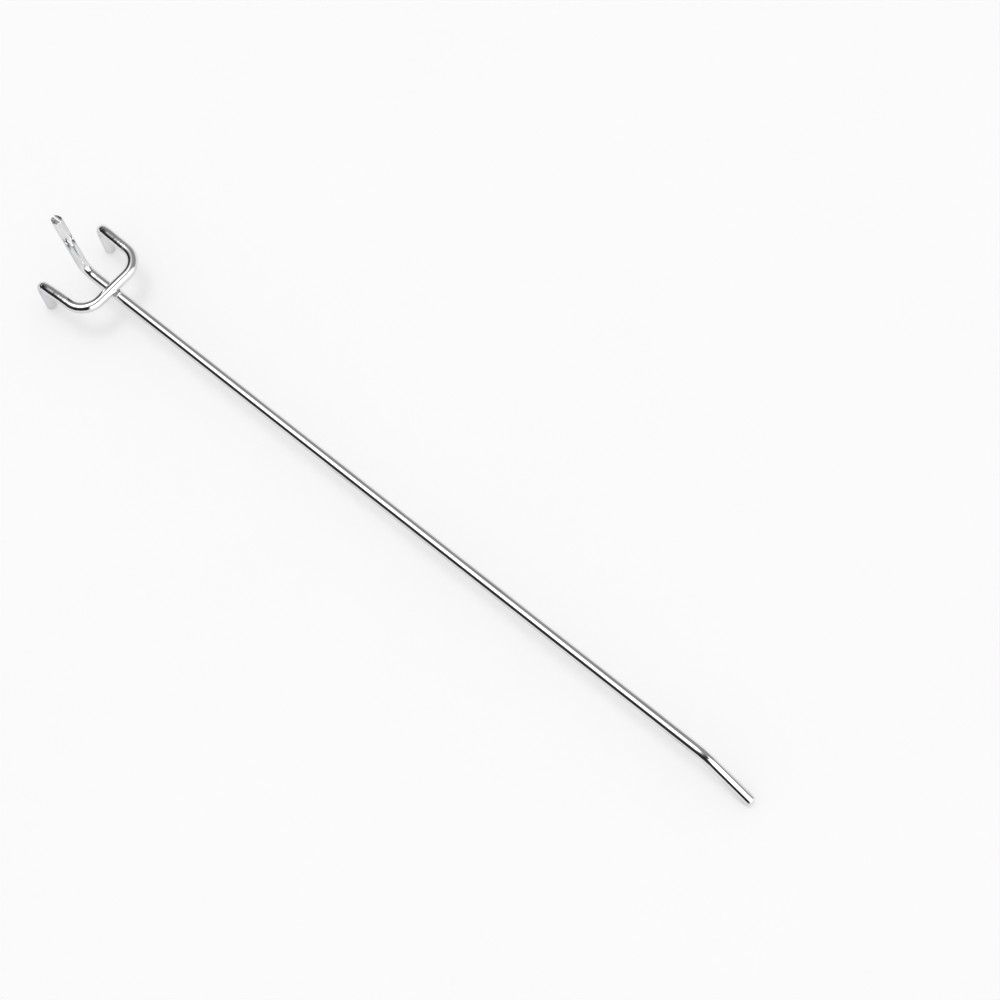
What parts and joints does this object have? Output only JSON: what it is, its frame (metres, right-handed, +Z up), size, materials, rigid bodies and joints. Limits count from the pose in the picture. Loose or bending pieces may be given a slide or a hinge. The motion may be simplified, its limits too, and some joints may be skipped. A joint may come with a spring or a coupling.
{
  "type": "pegboard hook",
  "caption": "Long pegboard hook of bright plated round wire: a straight prong with a turned-up tip and a bearing tail, welded under a U-shaped back wire that ends in short pegs.",
  "frame": {"origin": "bottom centre of the hook's box, on the surface that the hook lies on", "axes": "+Z up from the surface, with the pegs and the prong's tip down, which is turned over from the way it hangs; +Y along the prong from its tip to the board; X across the arms"},
  "size_m": [0.0282, 0.2572, 0.035],
  "materials": {
    "plated_wire": "bright plated, smooth"
  },
  "bodies": {
    "root": {"prong_wire": "plated_wire", "back_wire": "plated_wire"}
  },
  "joints": []
}
